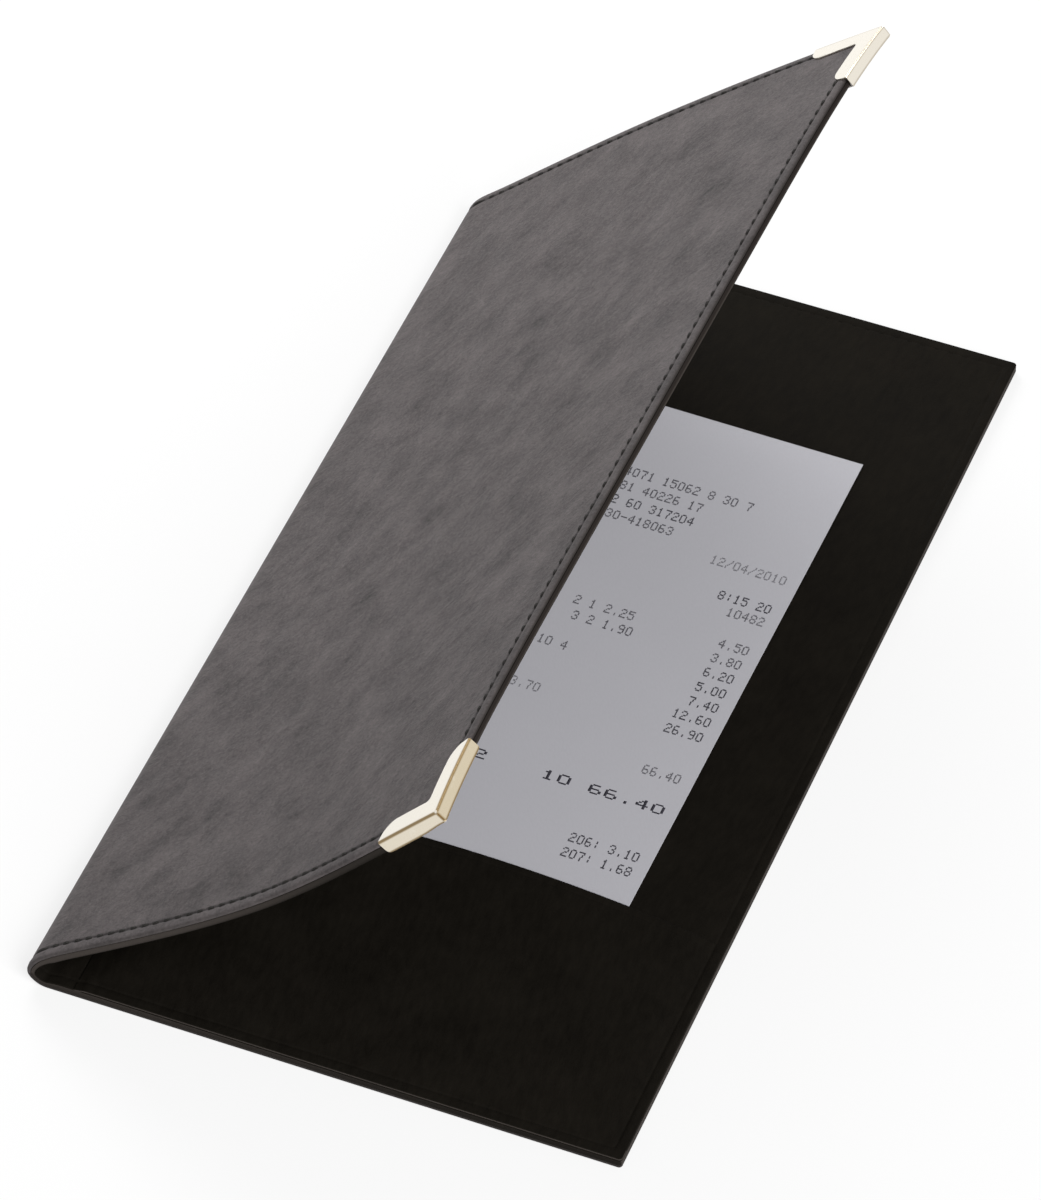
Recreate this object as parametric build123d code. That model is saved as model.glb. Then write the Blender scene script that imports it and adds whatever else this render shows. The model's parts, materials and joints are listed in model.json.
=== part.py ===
from build123d import *
import math
import os

# Guest check presenter: a folder of two stiff panels joined by a soft spine.
# The back panel lies flat, the cover stands half open, and a printed check sits
# in the pocket sewn to the inside of the back panel.
#
# Frame: millimetres, X across the folder from spine (-X) to free edge (+X),
# Y along the spine (the pocket is at the -Y end), Z up. The origin is in the
# middle of the overall outline, on the surface that the back panel lies on.
#
# Every layer of a panel is drawn in the panel's own frame: x runs out from the
# hinge axis, z runs from the outside of the folder towards the inside, and
# z = 0 is the middle of the soft fold.

# --- driving dimensions ---------------------------------------------------------
FOLDER_WIDTH = 125.0       # closed folder, spine to free edge
FOLDER_LENGTH = 230.0      # along the spine
COVER_REACH = 121.5        # hinge axis to free edge of the cover
COVER_ANGLE = 42.4         # how far the cover stands open, from the back panel

SKIN = 0.8                 # outer leatherette
BOARD = 1.2                # greyboard stiffener
LINING = 0.5               # inner lining
SPINE_HEIGHT = 6.0         # between the two hinge axes
SPINE_BULGE = 0.35         # the soft spine bows outwards by this much

FOLD_CLEARANCE = 0.05      # between a fold's round bead and the panel's edge
BOARD_INSET = 8.5          # hinge axis to the edge of the board
STEP_RUN = 3.0             # length of the slope where the lining climbs the board
PANEL_CORNER = 1.0         # plan radius of the free corners
TURNED_EDGE = 0.6          # roundness of the turned leatherette edge
LINING_EDGE = 0.3          # roundness of the turned lining edge
EDGE_GROOVE = 0.1          # gap between the two turned edges
SKIN_RIM = 1.5             # height of the turned leatherette edge

POCKET_START = 8.5         # hinge axis to the pocket's spine side
POCKET_DEPTH = 57.0        # near edge to the pocket's lip, at its ends
POCKET_BOW = 4.3           # the lip's middle is this much further out
POCKET_SHEET = 0.5
POCKET_SEAM = 3.0          # sewn band round three sides
POCKET_ROOM = 0.6          # height inside the pocket
POCKET_SLOPE = 4.0         # run over which the sheet rises from the seam
LIP_OVERRUN = 16.0         # how far the uncut sheet runs past the lip's ends

CHECK_WIDTH = 80.0         # slip from a standard 80 mm roll
CHECK_LENGTH = 182.0
CHECK_SHEET = 0.2
CHECK_TURN = 0.8           # the slip leans by this many degrees
CHECK_GAP = 0.05           # above the lining
CHECK_PLACE = (1.3, -15.6)  # middle of the slip

GUARD_SHEET = 0.4          # metal of the corner guards
GUARD_LEG = 18.0           # length of each leg, from the corner
GUARD_FLANGE = 4.4         # how far a flange reaches onto the panel
GUARD_TAPER = 5.0          # length over which a flange runs out at its tip
GUARD_TIP = 0.3            # what is left of the flange at the tip
GUARD_CROOK = 1.0          # radius of the inside corner between the legs
GUARD_BEND = 0.35          # outside radius of the folded edges
GUARD_SLIT = 0.3           # gap between the two side walls at the corner
SLIT_LENGTH = 2.4          # of the cut across the corner, from outside to inside

TOLERANCE = 0.01           # for picking edges by their place

# --- derived places -------------------------------------------------------------
FOLD_RADIUS = (SKIN + LINING) / 2
PANEL_THICKNESS = SKIN + BOARD + LINING
OUTER_FACE = -FOLD_RADIUS
BOARD_FACE = OUTER_FACE + SKIN
LINING_FACE = BOARD_FACE + BOARD
INNER_FACE = OUTER_FACE + PANEL_THICKNESS
GROOVE_BOTTOM = OUTER_FACE + SKIN_RIM
GROOVE_TOP = GROOVE_BOTTOM + EDGE_GROOVE

HINGE_X = -FOLDER_WIDTH / 2 + SPINE_BULGE + FOLD_RADIUS
SPINE_HINGE = (HINGE_X, 0.0, FOLD_RADIUS)
COVER_HINGE = (HINGE_X, 0.0, FOLD_RADIUS + SPINE_HEIGHT)
BACK_REACH = FOLDER_WIDTH / 2 - HINGE_X
PANEL_START = FOLD_RADIUS + FOLD_CLEARANCE
HALF_LENGTH = FOLDER_LENGTH / 2


# --- shared shapes --------------------------------------------------------------
def panel_plan(start, reach, inset, corner):
    """Plan of one panel layer, square at the spine and rounded at the free corners."""
    far = reach - inset
    half = HALF_LENGTH - inset
    with BuildSketch() as plan:
        with Locations(((start + far) / 2, 0)):
            Rectangle(far - start, 2 * half)
        free = plan.vertices().sort_by(Axis.X)[-2:]
        fillet(free, corner)
    return plan.sketch


def panel_block(start, reach, inset, corner, bottom, top):
    """The plan of a layer, raised from one height to another."""
    return extrude(Pos(0, 0, bottom) * panel_plan(start, reach, inset, corner), top - bottom)


def free_side_edges(solid, height, reach):
    """Edges of a panel layer at one height that run round its three free sides."""
    level = solid.edges().filter_by_position(Axis.Z, height - TOLERANCE, height + TOLERANCE)
    return level.filter_by(lambda edge: outline_distance(edge, reach) < TOLERANCE)


def outline_distance(edge, reach):
    """How far the middle of an edge lies inside the panel's outline."""
    middle = edge @ 0.5
    corner = (reach - PANEL_CORNER, HALF_LENGTH - PANEL_CORNER)
    beyond = (middle.X - corner[0], abs(middle.Y) - corner[1])
    if min(beyond) > 0:
        return abs(PANEL_CORNER - math.hypot(*beyond))
    return min(reach - middle.X, HALF_LENGTH - abs(middle.Y))


# --- panel layers ---------------------------------------------------------------
def make_skin(reach):
    """Leatherette sheet whose edge is turned up round the board on three sides."""
    block = panel_block(PANEL_START, reach, 0, PANEL_CORNER, OUTER_FACE, GROOVE_BOTTOM)
    bed = panel_block(BOARD_INSET, reach, SKIN, PANEL_CORNER - SKIN, BOARD_FACE, INNER_FACE)
    fold = Pos(BOARD_INSET / 2, 0, BOARD_FACE) * Box(
        BOARD_INSET, FOLDER_LENGTH, BOARD, align=(Align.CENTER, Align.CENTER, Align.MIN)
    )
    skin = block - bed - fold
    return fillet(free_side_edges(skin, OUTER_FACE, reach), TURNED_EDGE)


def make_board(reach):
    """Stiff greyboard that fills the tray formed by the turned edges."""
    return panel_block(BOARD_INSET, reach, SKIN, PANEL_CORNER - SKIN, BOARD_FACE, LINING_FACE)


def lining_profile(reach):
    """Section of the lining: down in the fold, up over the board, turned in at the edge."""
    start = BOARD_INSET - STEP_RUN
    with BuildSketch(Plane.XZ) as profile:
        with BuildLine():
            under_fold = Line((PANEL_START, BOARD_FACE), (start, BOARD_FACE))
            under_step = Spline(
                under_fold @ 1, (BOARD_INSET, LINING_FACE), tangents=((1, 0), (1, 0))
            )
            over_step = Spline(
                (BOARD_INSET, INNER_FACE), (start, BOARD_FACE + LINING), tangents=((-1, 0), (-1, 0))
            )
            Polyline(
                under_step @ 1,
                (reach - LINING, LINING_FACE),
                (reach - LINING, GROOVE_TOP),
                (reach, GROOVE_TOP),
                (reach, INNER_FACE),
                over_step @ 0,
            )
            Polyline(over_step @ 1, (PANEL_START, BOARD_FACE + LINING), under_fold @ 0)
        make_face()
    return profile.sketch


def make_lining(reach):
    """Inner lining, stepped down at the fold and turned in on three sides."""
    sheet = extrude(lining_profile(reach), HALF_LENGTH, both=True)
    sheet &= panel_block(PANEL_START, reach, 0, PANEL_CORNER, OUTER_FACE, INNER_FACE)
    rim = panel_block(BOARD_INSET, reach, 0, PANEL_CORNER, GROOVE_TOP, LINING_FACE)
    rim -= panel_block(0, reach, LINING, PANEL_CORNER - LINING, GROOVE_TOP, LINING_FACE)
    lining = sheet + rim
    lining -= panel_block(BOARD_INSET, reach, SKIN, PANEL_CORNER - SKIN, BOARD_FACE, LINING_FACE)
    flat_edges = free_side_edges(lining, INNER_FACE, reach)
    return fillet(flat_edges.filter_by(lambda edge: edge.center().X > BOARD_INSET), LINING_EDGE)


def panel_layers(reach):
    """The three sewn layers of a panel."""
    return {"skin": make_skin(reach), "board": make_board(reach), "lining": make_lining(reach)}


# --- spine ----------------------------------------------------------------------
def spine_band():
    """Bowed strip between the two hinge axes, with a round bead on each axis."""
    middle_z = (SPINE_HINGE[2] + COVER_HINGE[2]) / 2
    bow = ThreePointArc(
        (HINGE_X, SPINE_HINGE[2]), (HINGE_X - SPINE_BULGE, middle_z), (HINGE_X, COVER_HINGE[2])
    )
    with BuildSketch(Plane.XZ) as section:
        SlotArc(bow, 2 * FOLD_RADIUS)
    return extrude(section.sketch, HALF_LENGTH, both=True)


def make_spine():
    """The spine's leatherette outside and its lining inside, split along the bow."""
    band = spine_band()
    half_height = SPINE_HEIGHT / 2
    bow_radius = (half_height**2 + SPINE_BULGE**2) / (2 * SPINE_BULGE)
    middle_z = (SPINE_HINGE[2] + COVER_HINGE[2]) / 2
    centre_x = HINGE_X - SPINE_BULGE + bow_radius
    seam_radius = bow_radius + FOLD_RADIUS - SKIN
    inside = Pos(centre_x, 0, middle_z) * Rot(90, 0, 0) * Cylinder(seam_radius, FOLDER_LENGTH)
    return {"skin": band - inside, "lining": band & inside}


# --- pocket ---------------------------------------------------------------------
def raised_tray(seam, height):
    """Low block with sloping sides that stands inside the seam and runs past the lip."""
    left = POCKET_START + seam
    right = BACK_REACH - seam
    near = -HALF_LENGTH + seam
    far = -HALF_LENGTH + POCKET_DEPTH + LIP_OVERRUN
    draft = math.degrees(math.atan(POCKET_SLOPE / POCKET_ROOM))
    with BuildSketch(Plane.XY.offset(INNER_FACE)) as foot:
        with Locations(((left + right) / 2, (near + far) / 2)):
            Rectangle(right - left, far - near)
    return extrude(foot.sketch, height, taper=draft)


def pocket_lip_cut():
    """Everything beyond the bowed lip."""
    lip = -HALF_LENGTH + POCKET_DEPTH
    past = lip + 2 * LIP_OVERRUN
    middle = (POCKET_START + BACK_REACH) / 2
    with BuildSketch(Plane.XY.offset(INNER_FACE)) as beyond:
        with BuildLine():
            ThreePointArc((POCKET_START, lip), (middle, lip + POCKET_BOW), (BACK_REACH, lip))
            Polyline((BACK_REACH, lip), (BACK_REACH, past), (POCKET_START, past), (POCKET_START, lip))
        make_face()
    return extrude(beyond.sketch, POCKET_ROOM + 2 * POCKET_SHEET)


def make_pocket():
    """Sheet sewn flat on three sides, raised inside the seams, open at the bowed lip."""
    length = POCKET_DEPTH + LIP_OVERRUN
    flat = panel_block(
        POCKET_START, BACK_REACH, 0, PANEL_CORNER, INNER_FACE, INNER_FACE + POCKET_SHEET
    )
    flat &= Pos(POCKET_START, -HALF_LENGTH, INNER_FACE) * Box(
        BACK_REACH, length, POCKET_SHEET, align=(Align.MIN, Align.MIN, Align.MIN)
    )
    outside = Pos(0, 0, POCKET_SHEET) * raised_tray(POCKET_SEAM, POCKET_ROOM)
    room = raised_tray(POCKET_SEAM, POCKET_ROOM)
    return flat + outside - room - pocket_lip_cut()


# --- corner guards --------------------------------------------------------------
def guard_plan():
    """L-shaped plan of a guard, from the panel's corner inwards along both edges."""
    wall = -GUARD_SHEET
    shoulder = GUARD_LEG - GUARD_TAPER
    with BuildSketch() as plan:
        with BuildLine():
            run_out_x = Spline(
                (shoulder, GUARD_FLANGE), (GUARD_LEG, GUARD_TIP), tangents=((1, 0), (0.4, -1))
            )
            run_out_y = Spline(
                (GUARD_TIP, GUARD_LEG), (GUARD_FLANGE, shoulder), tangents=((1, -0.4), (0, -1))
            )
            Polyline(run_out_x @ 1, (GUARD_LEG, wall), (wall, wall), (wall, GUARD_LEG), run_out_y @ 0)
            Polyline(run_out_y @ 1, (GUARD_FLANGE, GUARD_FLANGE), run_out_x @ 0)
        make_face()
        crook = plan.vertices().sort_by_distance((GUARD_FLANGE, GUARD_FLANGE))[0]
        fillet(crook, GUARD_CROOK)
    return plan.sketch


def make_guard():
    """Metal corner folded over the edge: two flanges, two side walls and a corner slit."""
    bottom = OUTER_FACE - GUARD_SHEET
    top = INNER_FACE + GUARD_SHEET
    body = extrude(Pos(0, 0, bottom) * guard_plan(), top - bottom)
    folds = body.edges().filter_by(Plane.XY).filter_by(
        lambda edge: min(edge.center().X, edge.center().Y) < -GUARD_SHEET + TOLERANCE
    )
    body = fillet(folds, GUARD_BEND)
    hollow = Pos(0, 0, OUTER_FACE) * Box(
        2 * GUARD_LEG, 2 * GUARD_LEG, PANEL_THICKNESS, align=(Align.MIN, Align.MIN, Align.MIN)
    )
    slit = Pos(0, 0, (OUTER_FACE + INNER_FACE) / 2) * Rot(0, 0, 45) * Box(
        SLIT_LENGTH, GUARD_SLIT, PANEL_THICKNESS
    )
    return body - hollow - slit


def corner_guards():
    """The guard on the near free corner of a panel and its mirror on the far one."""
    placed = Pos(COVER_REACH, -HALF_LENGTH, 0) * mirror(make_guard(), Plane.YZ)
    return {"near": placed, "far": mirror(placed, Plane.XZ)}


# --- check ----------------------------------------------------------------------
def make_check():
    """Printed paper slip that stands in the pocket."""
    height = FOLD_RADIUS + INNER_FACE + CHECK_GAP
    slip = Box(CHECK_WIDTH, CHECK_LENGTH, CHECK_SHEET, align=(Align.CENTER, Align.CENTER, Align.MIN))
    return Pos(*CHECK_PLACE, height) * Rot(0, 0, -CHECK_TURN) * slip


# --- assembly -------------------------------------------------------------------
def place_back(shape):
    """From the panel's frame to the back panel, which lies flat."""
    return Pos(*SPINE_HINGE) * shape


def place_cover(shape):
    """From the panel's frame to the cover, turned over and stood open."""
    return Pos(*COVER_HINGE) * Rot(0, -COVER_ANGLE, 0) * mirror(shape, Plane.XY)


def all_parts():
    parts = {}
    for layer, shape in panel_layers(BACK_REACH).items():
        parts[f"back_{layer}"] = place_back(shape)
    for layer, shape in panel_layers(COVER_REACH).items():
        parts[f"cover_{layer}"] = place_cover(shape)
    for layer, shape in make_spine().items():
        parts[f"spine_{layer}"] = shape
    for side, shape in corner_guards().items():
        parts[f"corner_guard_{side}"] = place_cover(shape)
    parts["check_pocket"] = place_back(make_pocket())
    parts["guest_check"] = make_check()
    return parts


os.makedirs("parts", exist_ok=True)
for name, shape in all_parts().items():
    export_step(shape, f"parts/{name}.step")
    print(name, round(sum(solid.volume for solid in shape.solids()), 1))
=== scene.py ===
import json
import math

import bpy
import numpy as np
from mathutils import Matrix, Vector


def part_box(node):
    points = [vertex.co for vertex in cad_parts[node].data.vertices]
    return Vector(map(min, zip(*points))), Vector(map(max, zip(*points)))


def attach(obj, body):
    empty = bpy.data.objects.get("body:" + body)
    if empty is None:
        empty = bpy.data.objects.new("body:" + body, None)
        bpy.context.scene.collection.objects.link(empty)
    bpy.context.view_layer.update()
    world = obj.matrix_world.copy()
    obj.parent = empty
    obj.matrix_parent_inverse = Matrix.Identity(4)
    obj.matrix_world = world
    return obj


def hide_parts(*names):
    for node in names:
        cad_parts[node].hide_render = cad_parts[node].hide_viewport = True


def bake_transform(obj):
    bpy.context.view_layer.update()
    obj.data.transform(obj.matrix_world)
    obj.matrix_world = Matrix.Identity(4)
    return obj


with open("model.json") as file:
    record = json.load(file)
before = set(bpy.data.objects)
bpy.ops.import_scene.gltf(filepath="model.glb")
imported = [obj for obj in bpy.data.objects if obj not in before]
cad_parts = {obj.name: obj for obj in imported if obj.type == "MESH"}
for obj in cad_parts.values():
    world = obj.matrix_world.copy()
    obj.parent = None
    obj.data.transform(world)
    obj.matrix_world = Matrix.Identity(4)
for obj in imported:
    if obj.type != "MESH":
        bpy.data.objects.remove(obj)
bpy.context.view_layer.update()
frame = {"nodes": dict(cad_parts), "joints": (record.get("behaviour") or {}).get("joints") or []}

bl_info = {
    "name": "Check presenter",
    "version": (1, 0, 0),
    "blender": (4, 5, 0),
    "location": "View3D > Sidebar > Presenter",
    "description": "Dresses the packed model of a guest check presenter for rendering",
    "category": "Object",
}

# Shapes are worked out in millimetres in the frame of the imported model: X from the spine to
# the free edge, Y along the spine, Z up. They become metres when a mesh is made.
MM = 0.001
HINGES = {joint["name"]: joint["pos_m"] for joint in frame["joints"] if joint["type"] == "hinge"}

# --- the folder's own sizes -----------------------------------------------------
HINGE_X = HINGES["cover_hinge"][0] / MM
COVER_HINGE_Z = HINGES["cover_hinge"][2] / MM
HALF_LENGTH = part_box("back_skin")[1].y / MM
BACK_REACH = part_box("back_skin")[1].x / MM - HINGE_X
COVER_REACH = 121.0
COVER_ANGLE = math.radians(42.4)
FOLD_OFFSET = 0.65          # hinge axis to the outside face
SKIN_SHEET, LINING_SHEET = 0.5, 0.35
SKIN_VALLEY, LINING_VALLEY, POCKET_VALLEY = 0.22, 0.1, 0.15   # how deep the seams press into the sheets
SIDE_WALL = 0.55            # how far side walls take the edge's tone: painted shade on skins, the lighter edge on linings
BOARD_START, BOARD_INSET, BOARD_FACE, BOARD_SHEET = 8.5, 0.9, 0.8, 1.2
INNER_FACE = 2.5            # depth of the inside face below the outside face
FOLD_FACE = 1.9             # the same in the soft fold, which has no board
PRESSED, PRESSED_BAND = 0.4, 7.0     # how much thinner the cover is at its free edge, and over what width
STEP_START, STEP_END = 1.5, 6.0      # run over which the inside face climbs from the fold onto a board
CORNER_RADIUS = 0.7
STITCH_INSET = 2.3

# --- how the cover has curled ---------------------------------------------------
# Rows of (distance from the hinge, bow outwards, slope of the bow) at each end of the cover.
CURL_NEAR = ((0, 0.1, 0), (10, -0.3, -0.1), (61, -3.7, 0), (103, -0.3, 0.125), (122, 2.05, 0.11))
CURL_FAR = ((0, -1.65, 0), (12, -1.45, 0.035), (62, -0.2, 0), (103, -0.9, -0.035), (121.9, -1.75, -0.05))
CURL_LIFT = 2.2                      # the free edge bows out by this much more between the corners
NEAR_SHRINK = 0.018                  # share by which the near end reaches less far
FOLD_START, FOLD_END = -3.0, 4.0     # where the flat back and the curled cover meet the fold
FOLD_MIDDLE = (FOLD_START + FOLD_END) / 2
FOLD_BAND, FOLD_STEP = 12.0, 0.5     # width of the close rows next to the fold's middle, and their step
# Control points (x from the hinge, z) of the fold's line at its near and its far end, apart from
# its ends, and how far from the cover the last control point lies.
FOLD_HEEL = ((1.0, 0.0), (1.1, 0.0))
FOLD_TIP = ((-2.0, 3.1), (-0.75, 2.5))
FOLD_NECK = (3.0, 3.6)


def together(*values):
    """Arrays of numbers that belong together, as the last axis of one array."""
    return np.stack(np.broadcast_arrays(*values), -1)


def smooth_step(value, low, high):
    """0 below low, 1 above high and a smooth cubic between them."""
    t = np.clip((value - low) / (high - low), 0, 1)
    return t * t * (3 - 2 * t)


def bell(value, middle, width):
    """Bell curve: 1 at middle, falling off with the square of the distance measured in widths."""
    return np.exp(-(((value - middle) / width) ** 2))


def hermite(rows, run):
    """Value and slope of the cubic Hermite curve through rows of (place, value, slope)."""
    place, value, slope = np.array(rows, float).T
    run = np.clip(run, place[0], place[-1])
    left = np.clip(np.searchsorted(place, run, side="right") - 1, 0, len(place) - 2)
    width = place[left + 1] - place[left]
    t = (run - place[left]) / width
    rise = value[left + 1] - value[left]
    bend_in, bend_out = slope[left] * width - rise, rise - slope[left + 1] * width
    height = value[left] + t * rise + t * (1 - t) * ((1 - t) * bend_in + t * bend_out)
    steep = rise + (1 - 2 * t) * ((1 - t) * bend_in + t * bend_out) + t * (1 - t) * (bend_out - bend_in)
    return height, steep / width


def cover_curve(run, share, curl):
    """Outside face of the cover: a straight line at the opening angle, bowed along its normal by
    the curl, which goes over from the near end (share 0) to the far end (share 1). Between the
    ends it bows out further, with the square of the run."""
    near, near_slope = hermite(CURL_NEAR, run)
    far, far_slope = hermite(CURL_FAR, run)
    lift = CURL_LIFT * (1 - np.abs(2 * share - 1) ** 7) / COVER_REACH**2
    bow = FOLD_OFFSET + curl * (near + (far - near) * share + lift * run**2)
    slope = curl * (near_slope + (far_slope - near_slope) * share + 2 * lift * run)
    run = run * (1 - NEAR_SHRINK * (1 - share))
    cos, sin = math.cos(COVER_ANGLE), math.sin(COVER_ANGLE)
    point = together(HINGE_X + run * cos - bow * sin, COVER_HINGE_Z + run * sin + bow * cos)
    tangent = together(cos - slope * sin, sin + slope * cos)
    return point, tangent / np.linalg.norm(tangent, axis=-1, keepdims=True)


def fold_line(t, chain):
    """Point and direction on a quadratic B-spline of three parts, for t from 0 to 3: it runs from
    the first control point to the last and touches the middle of each leg between the others."""
    joints = [chain[0], (chain[1] + chain[2]) / 2, (chain[2] + chain[3]) / 2, chain[4]]
    point = heading = 0
    for part in range(3):
        s = np.clip(t - part, 0, 1)
        first, middle, last = joints[part], chain[part + 1], joints[part + 1]
        here = (t >= part) & (t <= 3 if part == 2 else t < part + 1)
        point = point + here * ((1 - s) ** 2 * first + 2 * s * (1 - s) * middle + s * s * last)
        heading = heading + here * ((1 - s) * (middle - first) + s * (last - middle))
    return point, heading / np.linalg.norm(heading, axis=-1, keepdims=True)


def section(run, y, curl):
    """Point and inward normal of the folder's outside face at run, the distance from the middle of
    the spine: straight along the back where run is negative, a B-spline round the fold, and the
    curled line of the cover where it is positive."""
    run, y = np.broadcast_arrays(np.asarray(run, float), np.asarray(y, float))
    share = np.clip(0.5 + y / (2 * HALF_LENGTH), 0, 1)
    back = together(HINGE_X - run, 0.0)
    cover, cover_tangent = cover_curve(np.maximum(run, FOLD_END), share, curl)
    end, end_tangent = cover_curve(np.full_like(run, FOLD_END), share, curl)
    start = np.array([HINGE_X - FOLD_START, 0.0])
    heel, tip = (
        together(HINGE_X + np.interp(share, (0, 1), x), np.interp(share, (0, 1), z))
        for x, z in (zip(*FOLD_HEEL), zip(*FOLD_TIP)))
    neck = end - end_tangent * np.interp(share, (0, 1), FOLD_NECK)[..., None]
    t = np.clip(3 * (run - FOLD_START) / (FOLD_END - FOLD_START), 0, 3)[..., None]
    fold, fold_tangent = fold_line(t, (start, heel, tip, neck, end))
    on_back, on_cover = (run < FOLD_START)[..., None], (run > FOLD_END)[..., None]
    point = np.where(on_back, back, np.where(on_cover, cover, fold))
    tangent = np.where(on_back, (-1.0, 0.0), np.where(on_cover, cover_tangent, fold_tangent))
    return point, together(tangent[..., 1], -tangent[..., 0])


def place(run, y, depth, curl):
    """Point of the folder at run and y, depth millimetres in from the outside face."""
    point, inward = section(run, y, curl)
    return together(point[..., 0] + depth * inward[..., 0], y, point[..., 1] + depth * inward[..., 1])


# --- meshes ---------------------------------------------------------------------
def grid_faces(rows, columns, wrap=False):
    """Corner numbers of the quads of a grid, whose last row joins the first one if it wraps."""
    index = np.arange(rows * columns).reshape(rows, columns)
    following = np.roll(index, -1, 0)
    if not wrap:
        index, following = index[:-1], following[:-1]
    return np.stack([index[:, :-1], following[:, :-1], following[:, 1:], index[:, 1:]], -1).reshape(-1, 4)


def repeated(faces, corners, count):
    """The faces of one shape of so many corners, for count copies that follow each other."""
    return (np.arange(count)[:, None, None] * corners + faces).reshape(-1, 4)


def linked(name, data):
    """A new object of the scene."""
    made = bpy.data.objects.new(name, data)
    bpy.context.scene.collection.objects.link(made)
    return made


def make_piece(name, points, faces, material, unrolled, **values):
    """Mesh object from points in millimetres, with a UV map and named values for each point."""
    mesh = bpy.data.meshes.new(name)
    mesh.from_pydata((points.reshape(-1, 3) * MM).tolist(), [], faces.tolist())
    mesh.update()
    corners = np.empty(len(mesh.loops), np.int32)
    mesh.loops.foreach_get("vertex_index", corners)
    flat = unrolled.reshape(-1, 2) * MM
    mesh.uv_layers.new(name="unrolled").data.foreach_set("uv", flat[corners].ravel())
    for key, value in values.items():
        mesh.attributes.new(key, "FLOAT", "POINT").data.foreach_set("value", value.astype(np.float32).ravel())
    mesh.polygons.foreach_set("use_smooth", np.ones(len(mesh.polygons), bool))
    mesh.materials.append(material)
    return linked(name, mesh)


def thicken(piece, sheet, bevel=0.0):
    """Gives a piece its wall, inwards from the modelled face, and rounds the wall's edges when a bevel is
    given.
    """
    solid = piece.modifiers.new("wall", "SOLIDIFY")
    solid.thickness = sheet * MM
    solid.offset = -1
    if bevel:
        rounding = piece.modifiers.new("rounding", "BEVEL")
        rounding.width = bevel * MM
        rounding.segments = 2
        rounding.limit_method = "ANGLE"
        rounding.angle_limit = math.radians(50)
        piece.modifiers.new("shading", "WEIGHTED_NORMAL").keep_sharp = True
    return piece


# --- edges and rings ------------------------------------------------------------
class RolledEdge:
    """Section of a sheet's edge: from the face round a quarter circle, down a straight wall, round a
    smaller quarter circle and back inwards in a tuck. A ring is the length along this line, which
    equals the inset from the outline while it is still on the face."""

    def __init__(self, radius, wall, lip, tuck):
        self.radius, self.wall, self.lip = radius, wall, lip
        quarter = math.pi / 2
        self.marks = radius - np.cumsum([0, quarter * radius, wall, quarter * lip, tuck])
        self.height = radius + wall + lip

    def rings(self):
        """Rings from the end of the tuck to the start of the face."""
        marks, counts = self.marks[::-1], (1, 3, 2, 6)
        steps = zip(marks, marks[1:], counts)
        return np.concatenate([np.linspace(a, b, count, endpoint=False) for a, b, count in steps])

    def inset_and_drop(self, ring):
        """How far a ring lies inside the outline, and how far below the face."""
        over = self.radius - ring
        quarter = math.pi / 2
        bend = np.clip(over / self.radius, 0, quarter)
        down = np.clip(over - quarter * self.radius, 0, self.wall)
        back = np.clip((over - quarter * self.radius - self.wall) / self.lip, 0, quarter)
        tucked = np.maximum(self.marks[3] - ring, 0)
        rolled = self.radius * (1 - np.sin(bend)) + self.lip * (1 - np.cos(back)) + tucked
        inset = np.where(over < 0, ring, rolled)
        return inset, self.radius * (1 - np.cos(bend)) + down + self.lip * np.sin(back)


SKIN_EDGE = RolledEdge(radius=0.6, wall=0.15, lip=0.15, tuck=0.5)
LINING_EDGE = RolledEdge(radius=0.3, wall=1.08, lip=0.15, tuck=0.5)
POCKET_EDGE = RolledEdge(radius=0.25, wall=0.1, lip=0.1, tuck=0.25)


def corner_round(extra, radius):
    """Rounds a ring's corner: shifts towards the nearer and along the further edge, as functions of
    the distance from the corner's diagonal, on an arc of the given radius."""
    angle = math.pi / 4 * np.clip(1 - extra / radius, 0, 1)
    return radius * (1 - np.cos(angle)), np.where(extra < radius, radius * (1 - np.sin(angle)), extra)


def ring_plan(free_ring, side_ring, edge):
    """Insets from the free edge and from the side edge for a grid of rings, with round corners.
    The ring of a point is the lesser of its two; further along the edge the rings even out."""
    ring = np.minimum(free_ring, side_ring)
    extra = np.abs(free_ring - side_ring)
    inset, drop = edge.inset_and_drop(ring)
    across, along = corner_round(extra, CORNER_RADIUS)
    even = (ring - inset) * smooth_step(extra, 1, 8)
    nearer, further = inset + across, inset + along + even
    free_is_near = free_ring < side_ring
    return np.where(free_is_near, nearer, further), np.where(free_is_near, further, nearer), ring, drop


def panel_rings(edge, step=3.0):
    """Rings from an edge inwards: the rolled edge, then close steps over the seam, then even ones."""
    spans = (edge.radius, 1.7, 0.2), (1.7, 2.9, 0.11), (2.9, 4.4, 0.4), (4.6, 2 * HALF_LENGTH, step)
    return np.concatenate([edge.rings(), *(np.arange(*span) for span in spans)])


def side_rings(edge, step=3.5):
    """Rings across the whole length, from one side edge to the other, with the side of each one."""
    rings = panel_rings(edge, step)
    rings = rings[rings < HALF_LENGTH - step / 2]
    ring = np.concatenate([rings, [HALF_LENGTH], rings[::-1]])
    side = np.concatenate([-np.ones(len(rings) + 1), np.ones(len(rings))])
    return ring, side


def seam_valley(ring, depth):
    """The sewn line presses a narrow valley into a sheet, and the band outside it stands a little."""
    return depth * bell(ring, STITCH_INSET, 0.32) - 0.3 * depth * bell(ring, 1.2, 0.5)


def pressed(run):
    """How much thinner the cover is towards its free edge."""
    return PRESSED * smooth_step(run, COVER_REACH - PRESSED_BAND, COVER_REACH)


def inner_depth(run):
    """Depth of the lining's face: down in the soft fold, up over the boards on both sides."""
    climb = smooth_step(np.abs(run), STEP_START, STEP_END)
    return FOLD_FACE + (INNER_FACE - FOLD_FACE) * climb - pressed(run)


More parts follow.
